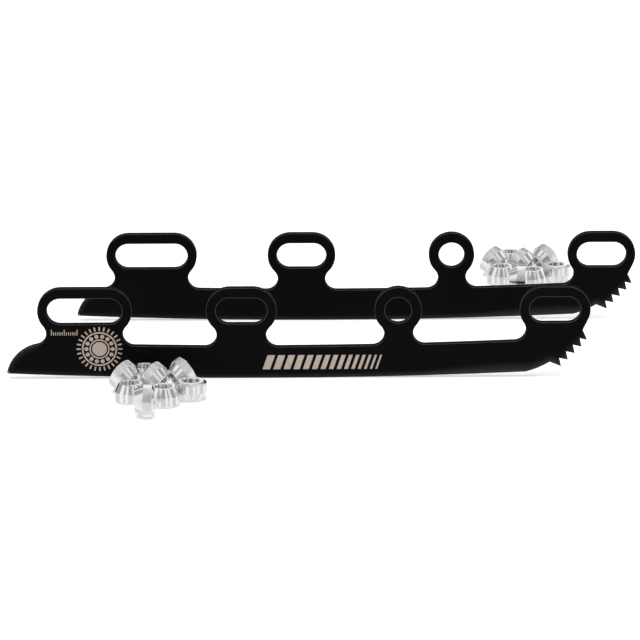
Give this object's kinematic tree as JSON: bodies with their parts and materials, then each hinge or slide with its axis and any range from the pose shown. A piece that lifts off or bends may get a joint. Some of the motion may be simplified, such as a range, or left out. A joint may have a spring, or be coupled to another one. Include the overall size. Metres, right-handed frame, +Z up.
{
  "type": "ice skate blade",
  "caption": "Pair of black ice blades with a toothed toe and slotted axle lugs, for an inline skate's frame, set out with their loose conical aluminium spacers.",
  "frame": {"origin": "centre of the front blade's fixed axle hole", "axes": "+X along the blade towards the toe, +Y from the front blade to the rear one, +Z up"},
  "size_m": [0.3244, 0.2884, 0.0472],
  "materials": {
    "coated_steel": "satin black coating on hardened steel, paler towards the ground running edge",
    "turned_aluminium": "bright turned aluminium"
  },
  "bodies": {
    "front_blade": {"front_blade": "coated_steel"},
    "rear_blade": {"rear_blade": "coated_steel"},
    "front_spacer_1": {"front_spacer_1": "turned_aluminium"},
    "front_spacer_2": {"front_spacer_2": "turned_aluminium"},
    "front_spacer_3": {"front_spacer_3": "turned_aluminium"},
    "front_spacer_4": {"front_spacer_4": "turned_aluminium"},
    "front_spacer_5": {"front_spacer_5": "turned_aluminium"},
    "front_spacer_6": {"front_spacer_6": "turned_aluminium"},
    "front_spacer_7": {"front_spacer_7": "turned_aluminium"},
    "front_spacer_8": {"front_spacer_8": "turned_aluminium"},
    "rear_spacer_1": {"rear_spacer_1": "turned_aluminium"},
    "rear_spacer_2": {"rear_spacer_2": "turned_aluminium"},
    "rear_spacer_3": {"rear_spacer_3": "turned_aluminium"},
    "rear_spacer_4": {"rear_spacer_4": "turned_aluminium"},
    "rear_spacer_5": {"rear_spacer_5": "turned_aluminium"},
    "rear_spacer_6": {"rear_spacer_6": "turned_aluminium"},
    "rear_spacer_7": {"rear_spacer_7": "turned_aluminium"},
    "rear_spacer_8": {"rear_spacer_8": "turned_aluminium"}
  },
  "joints": [
    {"name": "rear_blade_lift", "type": "slide", "parent": "front_blade", "child": "rear_blade", "axis": [0, 0, 1], "range_m": [0, 0.06]},
    {"name": "front_spacer_1_lift", "type": "slide", "parent": "front_blade", "child": "front_spacer_1", "axis": [0, 0, 1], "range_m": [0, 0.04]},
    {"name": "front_spacer_2_lift", "type": "slide", "parent": "front_blade", "child": "front_spacer_2", "axis": [0, 0, 1], "range_m": [0, 0.04]},
    {"name": "front_spacer_3_lift", "type": "slide", "parent": "front_blade", "child": "front_spacer_3", "axis": [0, 0, 1], "range_m": [0, 0.04]},
    {"name": "front_spacer_4_lift", "type": "slide", "parent": "front_blade", "child": "front_spacer_4", "axis": [0, 0, 1], "range_m": [0, 0.04]},
    {"name": "front_spacer_5_lift", "type": "slide", "parent": "front_blade", "child": "front_spacer_5", "axis": [0, 0, 1], "range_m": [0, 0.04]},
    {"name": "front_spacer_6_lift", "type": "slide", "parent": "front_blade", "child": "front_spacer_6", "axis": [0, 0, 1], "range_m": [0, 0.04]},
    {"name": "front_spacer_7_lift", "type": "slide", "parent": "front_blade", "child": "front_spacer_7", "axis": [0, 0, 1], "range_m": [0, 0.04]},
    {"name": "front_spacer_8_lift", "type": "slide", "parent": "front_blade", "child": "front_spacer_8", "axis": [0, 0, 1], "range_m": [0, 0.04]},
    {"name": "rear_spacer_1_lift", "type": "slide", "parent": "front_blade", "child": "rear_spacer_1", "axis": [0, 0, 1], "range_m": [0, 0.04]},
    {"name": "rear_spacer_2_lift", "type": "slide", "parent": "front_blade", "child": "rear_spacer_2", "axis": [0, 0, 1], "range_m": [0, 0.04]},
    {"name": "rear_spacer_3_lift", "type": "slide", "parent": "front_blade", "child": "rear_spacer_3", "axis": [0, 0, 1], "range_m": [0, 0.04]},
    {"name": "rear_spacer_4_lift", "type": "slide", "parent": "front_blade", "child": "rear_spacer_4", "axis": [0, 0, 1], "range_m": [0, 0.04]},
    {"name": "rear_spacer_5_lift", "type": "slide", "parent": "front_blade", "child": "rear_spacer_5", "axis": [0, 0, 1], "range_m": [0, 0.04]},
    {"name": "rear_spacer_6_lift", "type": "slide", "parent": "front_blade", "child": "rear_spacer_6", "axis": [0, 0, 1], "range_m": [0, 0.04]},
    {"name": "rear_spacer_7_lift", "type": "slide", "parent": "front_blade", "child": "rear_spacer_7", "axis": [0, 0, 1], "range_m": [0, 0.04]},
    {"name": "rear_spacer_8_lift", "type": "slide", "parent": "front_blade", "child": "rear_spacer_8", "axis": [0, 0, 1], "range_m": [0, 0.04]}
  ]
}
